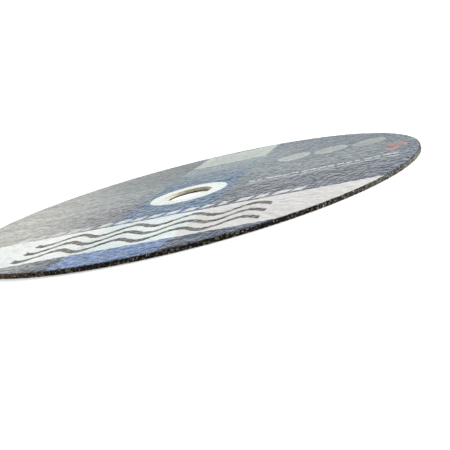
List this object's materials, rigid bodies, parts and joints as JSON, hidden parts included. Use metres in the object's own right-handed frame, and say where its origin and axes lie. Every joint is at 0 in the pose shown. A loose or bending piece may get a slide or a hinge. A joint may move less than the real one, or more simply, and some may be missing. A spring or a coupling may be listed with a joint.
{
  "type": "cut off wheel",
  "caption": "Flat round abrasive cut-off wheel with a printed paper label on its front face and a sheet-metal ring lining its arbor bore, for cutting metal on an angle grinder.",
  "frame": {"origin": "middle of the arbor bore on the back face, which the wheel lies on", "axes": "+Z along the bore axis towards the label, -Y towards the white band of the label"},
  "size_m": [0.23, 0.23, 0.002],
  "materials": {
    "abrasive": "coarse matt grit bonded in dark resin",
    "label_paper": "printed satin paper with a grain of the abrasive showing through",
    "ring_tinplate": "satin tinplate"
  },
  "bodies": {
    "root": {"abrasive_body": "abrasive", "paper_label": "label_paper", "centre_ring": "ring_tinplate"}
  },
  "joints": []
}
